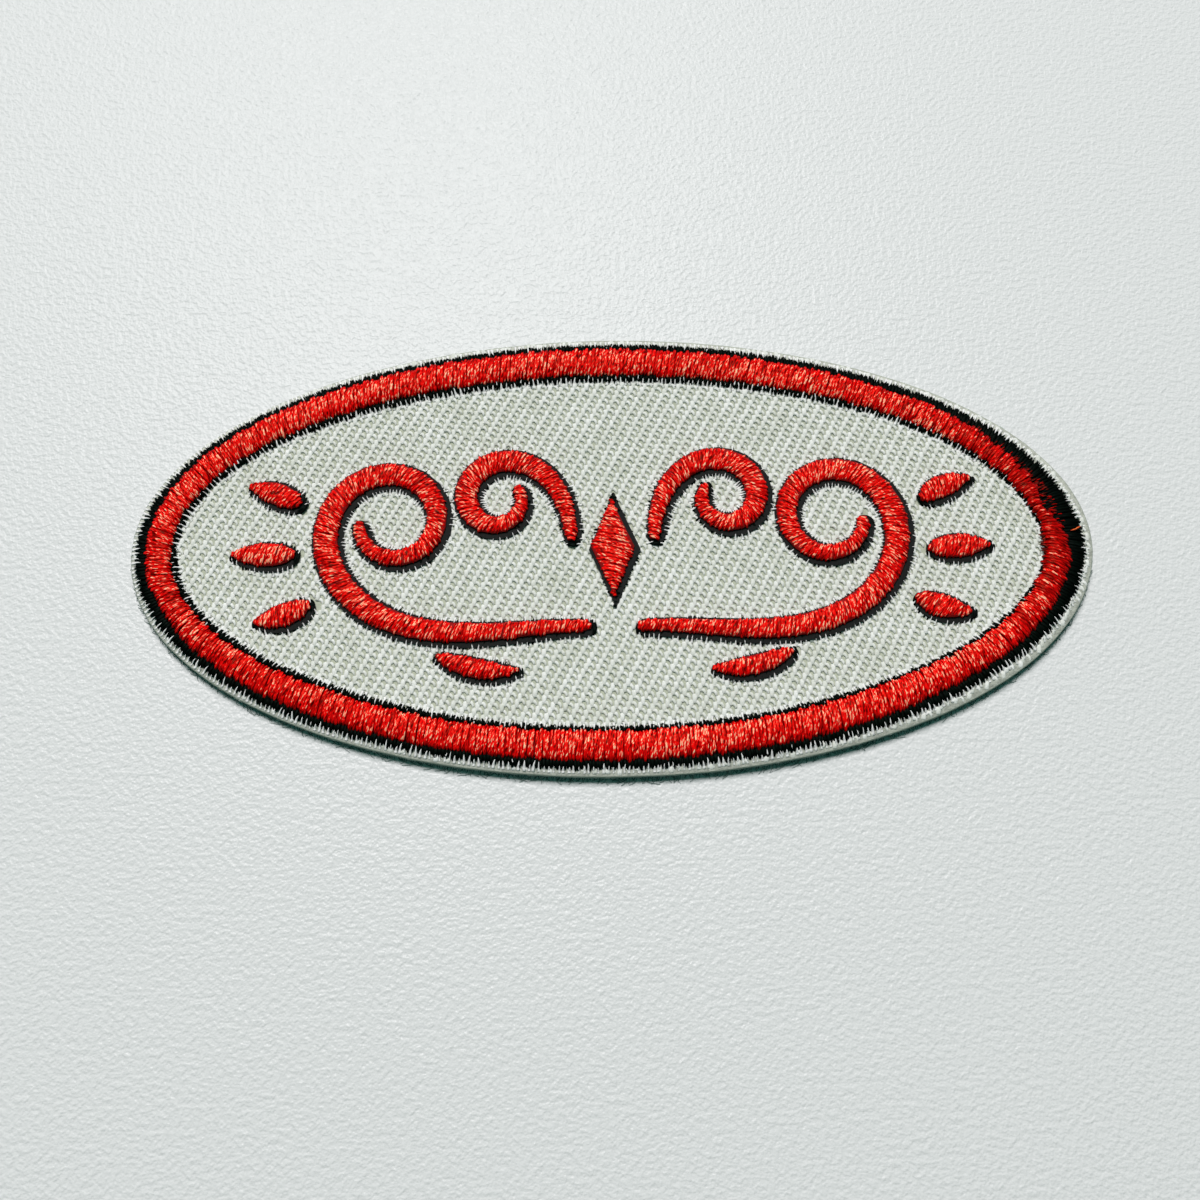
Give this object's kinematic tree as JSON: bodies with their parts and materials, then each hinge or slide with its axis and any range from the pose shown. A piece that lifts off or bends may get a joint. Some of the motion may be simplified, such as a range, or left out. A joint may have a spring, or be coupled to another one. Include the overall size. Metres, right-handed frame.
{
  "type": "embroidered patch",
  "caption": "Oval embroidered patch: light twill with a raised red satin border between thin black satin lines and a mirrored pair of red scrolls with black shadows.",
  "frame": {"origin": "centre of the patch's outline, on the flat back face that it lies on", "axes": "+X along the oval's long axis, to the right as the face is looked at, +Y towards the top of the oval, +Z out of the embroidered face"},
  "size_m": [0.089, 0.0426, 0.0018],
  "materials": {
    "twill": "woven",
    "red_thread": "satin stitch",
    "black_thread": "satin stitch"
  },
  "bodies": {
    "root": {"ground_cloth": "twill", "outer_edging": "black_thread", "red_band": "red_thread", "inner_edging": "black_thread", "lozenge": "red_thread", "lozenge_shadow": "black_thread", "right_vine": "red_thread", "right_crest": "red_thread", "right_upper_leaf": "red_thread", "right_middle_leaf": "red_thread", "right_lower_leaf": "red_thread", "right_sprig": "red_thread", "right_shadow": "black_thread", "left_vine": "red_thread", "left_crest": "red_thread", "left_upper_leaf": "red_thread", "left_middle_leaf": "red_thread", "left_lower_leaf": "red_thread", "left_sprig": "red_thread", "left_shadow": "black_thread"}
  },
  "joints": []
}
